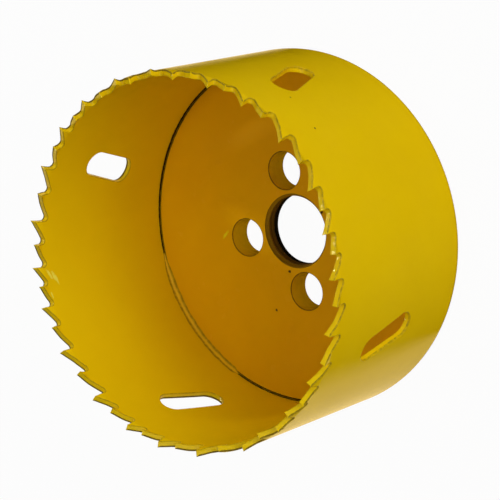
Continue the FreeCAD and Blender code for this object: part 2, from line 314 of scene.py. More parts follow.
# %% What every material starts with
def new_material(name, ior, tint):
    """A new material: it, its tree, its Principled shader and the places that its patterns follow."""
    material = bpy.data.materials.new(name)
    material.use_nodes = True
    tree = material.node_tree
    shader = fill(tree, tree.nodes["Principled BSDF"], {"IOR": ior, "Specular Tint": (*tint, 1)})
    return material, tree, shader, add_node(tree, "ShaderNodeTexCoord").outputs["Object"]


def bumped(tree, skin, strength, distance):
    """A normal that is bumped by the lacquer's skin."""
    height = place_group(tree, lacquer_skin, skin)["Height"]
    values = {"Strength": strength, "Distance": distance, "Height": height}
    return add_node(tree, "ShaderNodeBump", values).outputs["Normal"]


# %% Recipe: lacquered steel
GOLDEN = (1.0, 0.90, 0.45)
PIT_COLOUR, DIRT_AND_SHADE_COLOUR = (0.09, 0.045, 0.01, 1), (0.042, 0.020, 0.004, 1)
DIRT_AND_SHADE_WIDE_SIDE = (0.77, -0.64, 0.0)
SCRATCH_AND_GLINT_SQUEEZE, WORN_ROUGHNESS, SKIN_DEPTH = 0.75, 0.75, 0.0006
HAZE_LEAST, HAZE_MOST = -0.04, 0.05


def lacquered(name, thin, deep, edge, roughness, specks=(), dirt_and_shade=None, edge_share=0.9, peel=0.3, run=1.0,
              bump=0.1, ior=1.3):
    """A glossy lacquer. A pit is (place, radius) in mm, and a scratch or painted glint (place, radius, along,
    colour).
    """
    material, tree, shader, place = new_material(name, ior, GOLDEN)
    rim = add_node(tree, "ShaderNodeAttribute", attribute_name="rim").outputs["Fac"]
    colour = place_group(tree, lacquer_colour, {
        "Place": place, "Rim": rim, "Thin": (*thin, 1), "Deep": (*deep, 1), "Edge": (*edge, 1),
        "Edge share": edge_share})
    shade = colour["Colour"]
    for spot, radius, *scratch_or_glint in specks:
        values = {"Place": place, "Centre": Vector(spot) * MM, "Radius": radius * MM}
        if scratch_or_glint:
            values.update({"Along": scratch_or_glint[0], "Squeeze": SCRATCH_AND_GLINT_SQUEEZE})
        mask = place_group(tree, speck, values)["Mask"]
        shade = blended(tree, mask, shade, scratch_or_glint[1] if scratch_or_glint else PIT_COLOUR)
    # The joint's dark line: dirt and painted shade in the inner corner.
    if dirt_and_shade:
        line = place_group(tree, joint_dirt_and_shade, {
            "Place": place, "Circle radius": (INNER + SPIGOT) / 2 * MM, "Circle height": CAP_TOP * MM,
            "Width": dirt_and_shade[0] * MM, "Extra": dirt_and_shade[1] * MM, "Wide side": DIRT_AND_SHADE_WIDE_SIDE})
        shade = blended(tree, line["Mask"], shade, DIRT_AND_SHADE_COLOUR)
    haze = noise(tree, place, 130.0, 3.0, 0.6)
    gloss = stretched(tree, haze, 0.3, 0.7, roughness + HAZE_LEAST, roughness + HAZE_MOST)
    worn = maths(tree, "MULTIPLY_ADD", colour["Edge mask"], WORN_ROUGHNESS, gloss)
    normal = bumped(tree, {"Place": place, "Peel": peel, "Run": run}, bump, SKIN_DEPTH)
    fill(tree, shader, {"Base Color": shade, "Roughness": worn, "Normal": normal})
    return material


# %% Finishes of the wall and the cap
def on_wall(turn, height, radius=OUTER):
    """The point of the wall at a turn from +X toward +Y, in degrees, and a height, in millimetres."""
    angle = math.radians(turn)
    return radius * math.cos(angle), radius * math.sin(angle), height


# The first colour below is for painted glints: pale streaks on the inner wall that stand in for glints of
# light.
PAINTED_GLINT, PALE_GOLD = (1.0, 0.90, 0.10, 1), (1.0, 0.86, 0.02, 1)
JOINT_DIRT_AND_SHADE = (0.27, 0.13)
outer_lacquer = lacquered(
    "outer_lacquer", thin=(0.885, 0.590, 0.0015), deep=(0.855, 0.560, 0.0010), edge=(0.16, 0.10, 0.003),
    roughness=0.13, edge_share=0.68, specks=[(on_wall(-112, 33.8), 0.26), (on_wall(-99, 32.1), 0.22)])
# The inside of the wall is a paler copy of the lacquer: painted light inside the cup.
inner_lacquer = lacquered(
    "inner_lacquer", thin=(0.945, 0.658, 0.0020), deep=(0.915, 0.625, 0.0015), edge=(0.11, 0.065, 0.004),
    roughness=0.22, edge_share=0.5, dirt_and_shade=JOINT_DIRT_AND_SHADE,
    specks=[(on_wall(31.8, 41.3, INNER), 0.37, (-0.45, 0.73, -0.51), PAINTED_GLINT),
            (on_wall(32.65, 40.2, INNER), 0.31, (-0.51, 0.79, -0.33), PAINTED_GLINT),
            (on_wall(33.6, 39.6, INNER), 0.38, (-0.52, 0.77, -0.37), PAINTED_GLINT),
            (on_wall(38.5, 41.8, INNER), 0.20, (-0.61, 0.77, -0.17), PAINTED_GLINT)])
# A paler, glossier copy of the lacquer for the rims' flats and the pin holes; its paleness is painted light.
paler_lit_lacquer = lacquered(
    "paler_lit_lacquer", thin=(0.985, 0.680, 0.004), deep=(0.950, 0.640, 0.003), edge=(0.075, 0.042, 0.002),
    roughness=0.13, peel=0.9, run=1.5, bump=0.35, ior=1.45)
# The cap's inside face is a redder copy of the lacquer: painted bounce light and shade at the bottom of the
# cup.
cap_face_lacquer = lacquered(
    "cap_face_lacquer", thin=(0.940, 0.525, 0.0025), deep=(0.905, 0.485, 0.0020), edge=(0.15, 0.080, 0.004),
    roughness=0.24, dirt_and_shade=JOINT_DIRT_AND_SHADE,
    specks=[(on_wall(101, CAP_TOP, 8.9), 0.36), (on_wall(95, CAP_TOP, 18.1), 0.32),
            (on_wall(-123, CAP_TOP, 8.1), 0.50),
            (on_wall(29.7, CAP_TOP, 18.4), 0.36, (-0.30, -0.95, 0.0), PALE_GOLD)])
print("lacquers:", outer_lacquer.name, inner_lacquer.name, paler_lit_lacquer.name, cap_face_lacquer.name)

# %% [markdown]
# ## The thread in the cap
# The tapped hole was cut after the steel was cleaned and holds a film of oil, so the lacquer is thin there
# and brown to black. The colour follows the height in the hole, with some noise to speckle it, which gives
# both the brown lip and the black depth. The black that deepens towards the back face is partly that film and
# partly painted shade, deep in the hole.

# %% Material: oily thread with painted shade
# Colours by height in the hole, darker deeper down: partly the oily film and partly painted shade.
THREAD_COLOURS = ((0.50, (0.13, 0.070, 0.008, 1)), (0.80, (0.25, 0.13, 0.004, 1)))


def build_oily_thread_and_shade():
    material, tree, shader, place = new_material("oily_thread_and_shade", 1.2, (1.0, 0.75, 0.3))
    height = add_node(tree, "ShaderNodeSeparateXYZ", {0: place}).outputs["Z"]
    mottle = noise(tree, place, 900.0, 3.0, 0.65)
    lit = maths(tree, "MULTIPLY_ADD", mottle, 0.22, stretched(tree, height, 0.0010, 0.0051))
    ramp = add_node(tree, "ShaderNodeValToRGB", {"Fac": lit})
    deepest, lip = ramp.color_ramp.elements
    deepest.position, deepest.color = 0.30, (0.004, 0.002, 0.001, 1)
    lip.position, lip.color = 1.0, (0.34, 0.20, 0.006, 1)
    for position, colour in THREAD_COLOURS:
        ramp.color_ramp.elements.new(position).color = colour
    rough = stretched(tree, mottle, 0.0, 1.0, 0.28, 0.5)
    normal = bumped(tree, {"Place": place, "Peel": 0.8, "Run": 0.2, "Peel size": 1600.0}, 0.25, 0.0003)
    fill(tree, shader, {"Base Color": ramp.outputs["Color"], "Roughness": rough, "Normal": normal})
    return material


oily_thread_and_shade = build_oily_thread_and_shade()
print("material", oily_thread_and_shade.name)

# %% [markdown]
# ## The edge beside the open joint
# Where the joint stays open the lacquer has crept back from the spigot's edge into the slit, and the edge is
# left dark and dirty. Its near-black colour is also painted shade, for the depth of the slit. It is only two
# tenths of a millimetre wide, but it makes the joint read as a dark line.

# %% Material: open joint, dirt and painted shade
# Near black: dirt and painted shade in the slit.
open_joint = lacquered(
    "open_joint", thin=(0.075, 0.036, 0.006), deep=(0.016, 0.009, 0.005), edge=(0.30, 0.17, 0.005),
    roughness=0.4, edge_share=0.0, peel=1.0, run=0.5, bump=0.4)
print("material", open_joint.name)

# %% [markdown]
# ## Building a skin
# Each piece's mesh is gathered in a Shell: points, their normals, a "rim" value for the colour group, and
# faces with a material number. Writing the normals down, instead of letting Blender average them, keeps a
# large curved face perfectly smooth right up to a tiny rounded edge, so the mesh can stay light.

# %% Shell: a mesh in the making
UP = np.array((0.0, 0.0, 1.0))


def unit(rows):
    """The same directions with a length of 1."""
    return rows / np.linalg.norm(rows, axis=1, keepdims=True)


def turns(count):
    """Evenly spaced turns, once round."""
    return 2 * math.pi * np.arange(count) / count


def spokes(turn):
    """Level directions that point out from the axis, at each turn."""
    return np.stack([np.cos(turn), np.sin(turn), np.zeros_like(turn)], axis=1)


class Shell:
    """Points, normals, rim values and faces of one piece, in millimetres."""

    def __init__(self):
        self.points, self.normals, self.rims, self.faces, self.kinds = [], [], [], [], []
        self.count = 0

    def add(self, points, normals, rim=0.0):
        """Adds points and gives back their numbers."""
        points = np.asarray(points, float)
        self.points.append(points)
        self.normals.append(unit(np.asarray(normals, float)))
        self.rims.append(np.broadcast_to(np.asarray(rim, float), len(points)))
        numbers = np.arange(self.count, self.count + len(points))
        self.count += len(points)
        return numbers

    def band(self, first, second, closed=True, kind=0):
        """Four-sided faces between two rows of points that run the same way."""
        if closed:
            first, second = np.append(first, first[0]), np.append(second, second[0])
        rows = np.stack([first[:-1], first[1:], second[1:], second[:-1]], axis=1)
        self.faces += rows.tolist()
        self.kinds += [kind] * len(rows)

    def bands(self, rows, closed=True, kind=0, kinds=None):
        """A band between each row and the next, of one kind or of the kinds listed."""
        for number, (first, second) in enumerate(zip(rows, rows[1:])):
            self.band(first, second, closed, kinds[number] if kinds else kind)

    def face(self, plan, numbers, sides, holes, kind, flip):
        """Fills a plan inside its sides with triangles, on the points of these numbers."""
        triangles = filled(plan, sides, holes)
        order = (0, 2, 1) if flip else (0, 1, 2)
        self.faces += [[int(numbers[t[i]]) for i in order] for t in triangles]
        self.kinds += [kind] * len(triangles)
        return len(triangles)

    def piece(self, name, materials):
        """Makes the Blender object, in metres."""
        mesh = bpy.data.meshes.new(name)
        mesh.from_pydata((np.concatenate(self.points) * MM).tolist(), [], self.faces)
        for material in materials:
            mesh.materials.append(material)
        mesh.polygons.foreach_set("material_index", self.kinds)
        mesh.polygons.foreach_set("use_smooth", [True] * len(self.faces))
        rim = mesh.attributes.new("rim", "FLOAT", "POINT")
        rim.data.foreach_set("value", np.concatenate(self.rims))
        mesh.normals_split_custom_set_from_vertices(np.concatenate(self.normals).tolist())
        mesh.update()
        print(name, "has", len(mesh.vertices), "points and", len(mesh.polygons), "faces")
        return placed(name, mesh)


# %% [markdown]
# ## A rounded rim
# Both pieces are sheets: the wall is a rolled sheet 1.3 mm thick, the cap a flat one. Wherever a sheet
# ends, at a tooth, a slot or a hole, its edge needs two small roundings with a flat between them. In the
# flat plan this is simple: shift the outline inward by a little and drop it by a little, in three steps of
# thirty degrees. The plan has two axes, and depth is the third. The outline runs with the material on its
# right.
#
# Two more rows, one on the face and one on the flat, lie just beyond each rounding. Between them the "rim"
# value rises from 0 to its most, so the thin dark line along the edge is as narrow as the real one; it is
# partly lacquer drawn back and partly painted shade. On the wall's outer side the dark line reaches on over
# the flat, as painted shade. It is strongest at a turn of 45 degrees, where the tooth flats lie in shade, and
# weakest on the opposite side. Each step below gives a turn in degrees, how far beyond the rounding its row
# lies, counted in the rounding's own size, and the row's rim value.

# %% Rims in the plan
RIM_STEPS = ((90, 0.8, 0), (90, 0.0, 0.8), (60, 0.0, 0.8), (30, 0.0, 0.8), (0, 0.0, 0.8), (0, 0.8, 0))
BROAD_STEPS = ((90, 0.8, 0), (90, 0.0, 1), (60, 0.0, 1), (30, 0.0, 1), (0, 0.0, 1), (0, 1.3, 1), (0, 3.2, 0))


def outline_normals(line):
    """Directions that point away from the material, at each point of a closed line."""
    ahead = unit(np.roll(line, -1, axis=0) - line)
    mean = unit(ahead + np.roll(ahead, 1, axis=0))
    return np.stack([-mean[:, 1], mean[:, 0]], axis=1)


def rim_rows(line, away, inset, top, bottom, top_steps=RIM_STEPS):
    """Rows (plan points, depth, plan normals, depth normals, rim) from the top face round to the bottom."""
    rows = []
    for side, level, steps in ((1, top, top_steps), (-1, bottom, RIM_STEPS[::-1])):
        for turn, beyond, rim in steps:
            cos, sin = math.cos(math.radians(turn)), math.sin(math.radians(turn))
            shift = inset * (1 - cos + beyond * sin)
            depth = level - side * inset * (1 - sin + beyond * cos)
            plan = line - away * shift[:, None]
            rows.append((plan, depth, away * cos, np.full(len(line), side * sin), rim))
    return rows


def inside(points, loop):
    """Which points lie inside a closed loop: a line upward from them crosses it an odd number of times."""
    start, end = loop, np.roll(loop, -1, axis=0)
    run = np.where(end[:, 0] == start[:, 0], 1.0, end[:, 0] - start[:, 0])
    along, height = points[:, :1], points[:, 1:]
    spans = (start[:, 0] <= along) != (end[:, 0] <= along)
    at = start[:, 1] + (along - start[:, 0]) / run * (end[:, 1] - start[:, 1])
    return (spans & (at > height)).sum(axis=1) % 2 == 1


def filled(plan, sides, holes):
    """Triangles that fill a plan inside its sides but outside its holes, as numbers of the given points."""
    found = geometry.delaunay_2d_cdt([Vector(p) for p in plan.tolist()], sides, [], 1, 1e-7)
    points, triangles, origin = np.array(found[0]), np.array(found[2]), found[3]
    middles = points[triangles].mean(axis=1)
    for hole in holes:
        outside = ~inside(middles, hole)
        triangles, middles = triangles[outside], middles[outside]
    return [[origin[i][0] for i in triangle] for triangle in triangles]


def chained(numbers, closed=True):
    """Sides that join a row of points."""
    numbers = [int(n) for n in numbers]
    ends = numbers[1:] + numbers[:1] if closed else numbers[1:]
    return list(zip(numbers, ends))


def looped_sides(loops, low=0):
    """Sides round each loop, for loops whose points follow one another from a first number on."""
    sides = []
    for loop in loops:
        sides += chained(range(low, low + len(loop)))
        low += len(loop)
    return sides


# %% [markdown]
# ## The teeth
# The teeth are milled into the flat strip before it is rolled, in a run of eight pitches that repeats,
# because uneven pitches keep a saw from singing. Each gap has a long sloping back, a round bottom and a
# nearly upright cutting face. Drawing one gap from its angles and pitch, and putting 48 of them in a row,
# is how the cutter works too. The lacquer's rounding at the tip is drawn at once, as a tiny arc in the
# outline.

# %% Tooth sizes
PITCHES = (4.90, 4.85, 3.95, 4.40, 4.40, 5.35, 5.80, 6.10)
FIRST_TOOTH = math.radians(-46.6)
BACK, RAKE = math.radians(31), math.radians(5)
LAND, SET_HEIGHT, SET = 0.12, 1.8, 0.45
TIP_ROUND, BACK_ROUND, GULLET_ROUND, LEAST_GULLET, LONGEST_SIDE = 0.05, 0.2, 0.7, 0.15, 0.45
BEND = RIM - SET_HEIGHT


def tooth_places():
    """Start and pitch of every tooth along the strip. The last pitch takes what is left of the strip."""
    starts, shortest_last = [0.0], min(PITCHES) * 0.8
    while starts[-1] + PITCHES[(len(starts) - 1) % len(PITCHES)] + shortest_last < AROUND:
        starts.append(starts[-1] + PITCHES[(len(starts) - 1) % len(PITCHES)])
    if len(starts) % 2:
        starts.pop()
    return [(start, end - start) for start, end in zip(starts, starts[1:] + [AROUND])]


teeth = tooth_places()
print("teeth:", len(teeth), "last pitch in mm:", round(teeth[-1][1], 2))


# %% One gap between two teeth
def straight(start, end, longest):
    """Points from start up to, but without, the end of a straight side."""
    steps = max(1, math.ceil(math.dist(start, end) / longest))
    return [tuple(np.array(start) + (np.array(end) - start) * i / steps) for i in range(steps)]


def eased(corner, to_before, to_after, radius, steps):
    """The points of a small arc that eases a corner, given the directions of its two sides."""
    to_before, to_after = np.array(to_before), np.array(to_after)
    half = math.acos(float(to_before @ to_after)) / 2
    inward = (to_before + to_after) / np.linalg.norm(to_before + to_after)
    centre = np.array(corner) + inward * radius / math.sin(half)
    first = np.array(corner) + to_before * radius / math.tan(half) - centre
    last = np.array(corner) + to_after * radius / math.tan(half) - centre
    points = []
    for share in np.linspace(0, 1, steps + 1):
        spoke = first * (1 - share) + last * share
        points.append(tuple(centre + spoke * radius / np.linalg.norm(spoke)))
    return points


def gap_outline(start, pitch):
    """Outline of one gap from a tooth's tip to just before the next, and its round bottom's middle."""
    run = pitch - LAND
    spread = math.cos(BACK) - math.sin(BACK) * math.tan(RAKE)
    share = 1 + math.sin(BACK) / math.cos(RAKE)
    tightest = (run * math.sin(BACK) - (SET_HEIGHT + TIP_ROUND) * spread) / (share - spread)
    radius = max(min(GULLET_ROUND, tightest), LEAST_GULLET)
    depth = (run * math.sin(BACK) - radius * share) / spread
    middle = start + pitch + (depth * math.sin(RAKE) - radius) / math.cos(RAKE)
    centre = np.array((middle, RIM - depth))
    down_face = (math.sin(RAKE), -math.cos(RAKE))
    down_back = (math.cos(BACK), -math.sin(BACK))
    points = eased((start, RIM), down_face, (1.0, 0.0), TIP_ROUND, 4)
    points += eased((start + LAND, RIM), (-1.0, 0.0), down_back, BACK_ROUND, 3)
    foot = centre + radius * np.array((-math.sin(BACK), -math.cos(BACK)))
    points += straight(points[-1], tuple(foot), LONGEST_SIDE)[1:]
    bowl = [270 - math.degrees(BACK) + math.degrees(BACK) * i / 3 for i in range(4)]
    bowl += [270 + (90 + math.degrees(RAKE)) * i / 9 for i in range(1, 10)]
    points += [tuple(centre + radius * np.array((math.cos(a), math.sin(a)))) for a in np.radians(bowl)]
    next_tip = eased((start + pitch, RIM), down_face, (1.0, 0.0), TIP_ROUND, 4)[0]
    points += straight(points[-1], next_tip, LONGEST_SIDE)[1:]
    return points, middle


outline, middles, bottoms = [], [], []
for start, pitch in teeth:
    points, middle = gap_outline(start, pitch)
    bottoms.append(len(outline) + min(range(len(points)), key=lambda i: points[i][1]))
    outline += points
    middles.append(middle)
outline = np.array(outline)
first = bottoms[-1]
outline = np.concatenate([outline[first:] - (AROUND, 0), outline[:first]])
seam = outline[0][0]
print("points along the toothed edge:", len(outline), "seam at", round(seam, 2), "mm")

# %% [markdown]
# ## Bending the teeth
# Saw teeth are set: one leans out, the next leans in, so the cut is wider than the wall and the saw runs
# free. The lean starts softly at the bend line and then stays straight. It is a shift of the rolled sheet
# along its radius, so one function of place and height gives it, and its slope tips the normals.

# %% Tooth set
edges = np.array([middles[-1] - AROUND] + middles)


def set_shift(along, height):
    """How far the sheet is shifted outward, and how fast that grows with height."""
    along = (along - edges[0]) % AROUND + edges[0]
    number = np.clip(np.searchsorted(edges, along, side="right") - 1, 0, len(teeth) - 1)
    side = np.where(number % 2 == 0, 1.0, -1.0)
    part = np.clip((height - BEND) / SET_HEIGHT, 0, None)
    soft = 0.3
    lean = np.where(part < soft, part ** 2 / (2 * soft), part - soft / 2) / (1 - soft / 2)
    slope = np.where(part < soft, part / soft, 1.0) / (1 - soft / 2) / SET_HEIGHT
    return side * SET * lean, side * SET * np.where(part > 0, slope, 0.0)


def rolled(plan, radius, plan_normals, depth_normals):
    """Rolls points of the flat strip into the ring: places and normals."""
    turn = FIRST_TOOTH + plan[:, 0] / OUTER
    shift, slope = set_shift(plan[:, 0], plan[:, 1])
    out = spokes(turn)
    along = np.stack([-np.sin(turn), np.cos(turn), np.zeros_like(turn)], axis=1)
    places = out * (radius + shift)[:, None] + UP * plan[:, 1:]
    face = unit(out - UP * slope[:, None])
    normals = along * plan_normals[:, :1] + UP * plan_normals[:, 1:] + face * depth_normals[:, None]
    return places, normals


shift, _ = set_shift(np.array([0.0, teeth[1][0]]), np.array([RIM, RIM]))
print("set of the first two teeth at the tip, in mm:", shift.round(3))

# %% [markdown]
# ## Knock-out slots
# Four leaning slots let a screwdriver lever the cut plug out. They are punched as plain slots with round
# ends. The outline runs against the clock, so that the material is on its right as everywhere else.

# %% Slot outlines
SLOT_LONG, SLOT_WIDE, SLOT_LEAN, SLOT_HEIGHT, SLOT_SIDE = 15.0, 5.4, 18, 24.0, 0.7
MIDDLE = (OUTER + INNER) / 2
slot_axis = np.array((-math.sin(math.radians(SLOT_LEAN)), math.cos(math.radians(SLOT_LEAN))))
slot_ends = [sign * (SLOT_LONG - SLOT_WIDE) / 2 * slot_axis for sign in (1, -1)]


def slot_outline(turn):
    """One slot's outline on the flat strip, with its middle at a turn from +X, in degrees."""
    points = []
    for end, first in zip(slot_ends, (SLOT_LEAN, SLOT_LEAN + 180)):
        angles = np.radians(first + np.linspace(0, 180, 25))
        half = [tuple(end + SLOT_WIDE / 2 * np.array((math.cos(a), math.sin(a)))) for a in angles]
        if points:
            points += straight(points[-1], half[0], SLOT_SIDE)[1:]
        points += half
    points += straight(points[-1], points[0], SLOT_SIDE)[1:]
    across, up = np.array(points).T
    middle = (math.radians(turn) - FIRST_TOOTH) % (2 * math.pi) * OUTER
    return np.stack([middle + OUTER * np.arcsin(across / MIDDLE), SLOT_HEIGHT + up], axis=1), middle


slots = [slot_outline(turn) for turn in (0, 90, 180, 270)]
print("points round a slot:", len(slots[0][0]))
print("slot middles along the strip:", [round(middle, 1) for _, middle in slots])

# %% [markdown]
# ## The rolled wall
# Now the sheet can be put together. Its rims come first: the toothed edge, the four slots and the plain back
# edge. Two faces fill the space between them, one outside and one inside, and both use the same triangles. A
# net of inner points keeps those triangles short enough to follow the ring's curve and the teeth's lean.
# Where the strip's two ends meet, the points on one end stand for those on the other, so there is no gap. The
# finishes have numbers: 0 is the outer lacquer, 1 the inner one, a paler copy painted with light, and 2 a
# paler copy again on the rims' flats, painted light there too.

# %% Rims of the wall
wall = Shell()
EDGE, SLOT_EDGE, BACK_EDGE, TIP_EDGE, EDGE_GROWTH = 0.13, 0.18, 0.02, 0.010, 0.25
FACE_SPACING = 1.6
WALL_KINDS = (0, 0, 0, 0, 2, 2, 2, 1, 1, 1, 1, 1)
SHADED_SIDE_TURN, SHADED_SIDE_SHARE = math.radians(45), 0.22


def tip_inset(line):
    """Smaller roundings near a tooth's tip, where there is no room for the full one."""
    tips = np.array([start for start, pitch in teeth] + [AROUND])
    gap = np.abs(line[:, :1] - tips[None, :])
    away = np.sqrt(gap.min(axis=1) ** 2 + (RIM - line[:, 1]) ** 2)
    return np.clip(TIP_EDGE + EDGE_GROWTH * away, None, EDGE)


steps = round(AROUND / FACE_SPACING)
back_edge = np.stack([seam + AROUND * (1 - np.arange(steps) / steps), np.full(steps, SHOULDER)], axis=1)
back_away = np.tile((0.0, -1.0), (steps, 1))
looped = np.concatenate([outline[-1:] - (AROUND, 0), outline, outline[:1] + (AROUND, 0)])
tooth_away = outline_normals(looped)[1:-1]
# The last number of each line scales its edge's dark line, which is partly lacquer drawn back and partly
# painted shade.
lines = [(outline, tooth_away, tip_inset(outline), 1.0),
         (back_edge, back_away, np.full(steps, BACK_EDGE), 0.0)]
lines += [(line, outline_normals(line), np.full(len(line), SLOT_EDGE), 0.9) for line, middle in slots]
rims = []
for line, away, inset, worn in lines:
    # Painted shade: the edges' dark line is made stronger towards one side of the saw.
    side_shade = worn * (1.0 + SHADED_SIDE_SHARE * np.cos(FIRST_TOOTH + line[:, 0] / OUTER - SHADED_SIDE_TURN))
    rows = [(wall.add(*rolled(plan, depth, flat, deep), rim * side_shade), plan)
            for plan, depth, flat, deep, rim in rim_rows(line, away, inset, OUTER, INNER, BROAD_STEPS)]
    wall.bands([numbers for numbers, plan in rows], kinds=WALL_KINDS)
    rims.append(rows)
print("rims:", len(rims), "points so far:", wall.count)


# %% Inner points of the wall's faces
strip = np.concatenate([outline, outline[:1] + (AROUND, 0), back_edge, [(seam, SHOULDER)]])


def net(heights, spacing, clear):
    """A brick-laid net of inner points, away from the rims."""
    found = []
    for number, height in enumerate(heights):
        count = round(AROUND / spacing)
        along = seam + (np.arange(1, count) + 0.5 * (number % 2)) * AROUND / count
        found.append(np.stack([along, np.full(len(along), height)], axis=1))
    points = np.concatenate(found)
    points = points[(points[:, 0] < seam + AROUND - 0.6 * spacing) & inside(points, strip)]
    for line, middle in slots:
        points = points[~inside(points, line)]
    border = np.concatenate([line for line, *_ in lines])
    keep = [np.min(np.abs(border - p).sum(axis=1)) > clear for p in points]
    return points[np.array(keep)]


inner_points = np.concatenate([
    net(np.arange(6.2, 41.0, 2.45), spacing=FACE_SPACING, clear=0.95),
    net(np.arange(42.0, 43.9, 0.32), spacing=0.42, clear=0.36)])
seam_heights = np.linspace(SHOULDER, outline[0][1], 18)[1:-1]
seam_points = np.stack([np.full(len(seam_heights), seam), seam_heights], axis=1)
print("inner points:", len(inner_points))


# %% Faces of the wall
def wall_face(row, radius, flip):
    """Fills one face of the wall between the rims' rows of that number."""
    numbers = [rim[row][0] for rim in rims]
    plans = [rim[row][1] for rim in rims]
    side = np.full(len(inner_points) + len(seam_points), -1.0 if flip else 1.0)
    loose = np.concatenate([inner_points, seam_points])
    own = wall.add(*rolled(loose, radius, np.zeros_like(loose), side))
    seam_own = own[len(inner_points):]
    shifted = np.array((AROUND, 0))
    plan = np.concatenate([plans[0], plans[0][:1] + shifted, plans[1], plans[1][:1] - shifted, *plans[2:],
                           inner_points, seam_points, seam_points + shifted])
    known = np.concatenate([numbers[0], numbers[0][:1], numbers[1], numbers[1][:1], *numbers[2:],
                            own[:len(inner_points)], seam_own, seam_own])
    teeth_count, back_count = len(plans[0]) + 1, len(plans[1]) + 1
    left_end = len(plan) - len(seam_points)
    left = range(left_end - len(seam_points), left_end)
    right = range(left_end, len(plan))
    sides = chained(range(teeth_count), False)
    sides += chained([teeth_count - 1, *reversed(right), teeth_count], False)
    sides += chained(range(teeth_count, teeth_count + back_count), False)
    sides += chained([teeth_count + back_count - 1, *left, 0], False)
    sides += looped_sides(plans[2:], teeth_count + back_count)
    return wall.face(plan, known, sides, plans[2:], int(flip), flip)


print("triangles outside:", wall_face(0, OUTER, False), "inside:", wall_face(-1, INNER, True))

# %% Make the wall
cup_wall = wall.piece("cup_wall_skin", [outer_lacquer, inner_lacquer, paler_lit_lacquer])
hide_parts("cup_wall")
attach(cup_wall, "root")

# %% [markdown]
# ## The end cap
# The cap is a turned disc, so most of it is a profile swept round the axis. The profile starts at the back
# face, goes round the soft back edge and up the outside to the shoulder where the wall stands, and then up
# the spigot to the inside face. Each part of it is a list of (radius, height, normal out, normal up). The
# finishes have numbers here too: 0 is the outer lacquer, 1 the thread's film with painted shade in its depth,
# 2 the lacquer of the inside face, a redder copy with painted bounce light and shade, 3 the dark edge of the
# open joint, dirt and painted shade, and 4 the paler lacquer in the pin holes, painted light.

# %% Profile of the cap
ROUND_COUNT = 240


def ring(radius, height, count=ROUND_COUNT):
    """A level circle of points, and the directions that point out from the axis."""
    out = spokes(turns(count))
    return out * radius + UP * height, out


def swept(shell, profile, kind=0):
    """Sweeps one smooth part of the profile and gives back its rows."""
    rows = []
    for radius, height, outward, upward in profile:
        places, out = ring(radius, height)
        rows.append(shell.add(places, out * outward + UP * upward))
    shell.bands(rows, kind=kind)
    return rows


def corner(radius, height, size, start, end, steps):
    """Profile points of a rounding with its centre at a radius and height, in degrees."""
    angles = np.radians(np.linspace(start, end, steps + 1))
    ways = [(math.cos(angle), math.sin(angle)) for angle in angles]
    return [(radius + size * out, height + size * up, out, up) for out, up in ways]


cap = Shell()
LIP = 0.2
outside = swept(cap, corner(OUTER - ROUND, ROUND, ROUND, -90, 0, 14) + [(OUTER, SHOULDER, 1, 0)])
swept(cap, [(OUTER, SHOULDER, 0, 1), (SPIGOT, SHOULDER, 0, 1)])
spigot = swept(cap, [(SPIGOT, SHOULDER, 1, 0)] + corner(SPIGOT - LIP, CAP_TOP - LIP, LIP, 0, 90, 4), kind=3)
print("points in the swept profile:", cap.count)

# %% [markdown]
# ## Drive pin holes and the tapped hole
# The four pin holes are plain: a rim like the slots', only flat. The tapped hole is a groove that winds
# round and down. It could be cut with a swept triangle, but its wall is also just a radius for every turn
# and height. A fine grid of such radii gives the groove, its crests and both bevels in one piece.

# %% Pin holes
# The pin holes' rims carry the edge's dark line, partly lacquer drawn back and partly painted shade.
PIN_CIRCLE, PIN_RADIUS, PIN_TURN, PIN_POINTS, PIN_EDGE, PIN_RIM_SCALE = 12.7, 3.95, 33.5, 72, 0.14, 1.25
PIN_KINDS = (2, 2, 2, 2, 2, 4, 2, 2, 2, 2, 2)
pins = []
for number in range(4):
    angle = math.radians(PIN_TURN + 90 * number)
    centre = PIN_CIRCLE * np.array((math.cos(angle), math.sin(angle)))
    line = centre + PIN_RADIUS * spokes(turns(PIN_POINTS))[:, :2]
    inset = np.full(PIN_POINTS, PIN_EDGE)
    rows = []
    for plan, depth, flat, deep, rim in rim_rows(line, outline_normals(line), inset, CAP_TOP, 0.0):
        places = np.concatenate([plan, depth[:, None]], axis=1)
        rows.append((cap.add(places, np.concatenate([flat, deep[:, None]], axis=1), PIN_RIM_SCALE * rim), plan))
    cap.bands([numbers for numbers, plan in rows], kinds=PIN_KINDS)
    pins.append(rows)
print("pin holes:", len(pins))

# %% Tapped hole
CREST, ROOT, THREAD_PITCH, CREST_FLAT = 7.3, 7.94, 25.4 / 18, 0.0625
INSIDE_BEVEL, BACK_BEVEL = 0.55, 1.2
# The tapped hole's rims carry the same dark line, partly painted shade.
HOLE_EDGE, HOLE_RIM_VALUE = 0.04, 0.5


def hole_radius(turn, height):
    """Radius of the tapped hole's wall: the thread groove, or a bevel where that is wider."""
    phase = (height / THREAD_PITCH + turn / (2 * math.pi)) % 1.0
    across = np.abs(phase - 0.5)
    groove = np.clip(ROOT - CREST - (across - CREST_FLAT) * THREAD_PITCH * math.sqrt(3), 0, ROOT - CREST)
    inside_bevel = np.clip(height - (CAP_TOP - INSIDE_BEVEL), 0, None)
    back_bevel = np.clip(BACK_BEVEL - height, 0, None)
    return CREST + np.maximum(groove, np.maximum(inside_bevel, back_bevel))


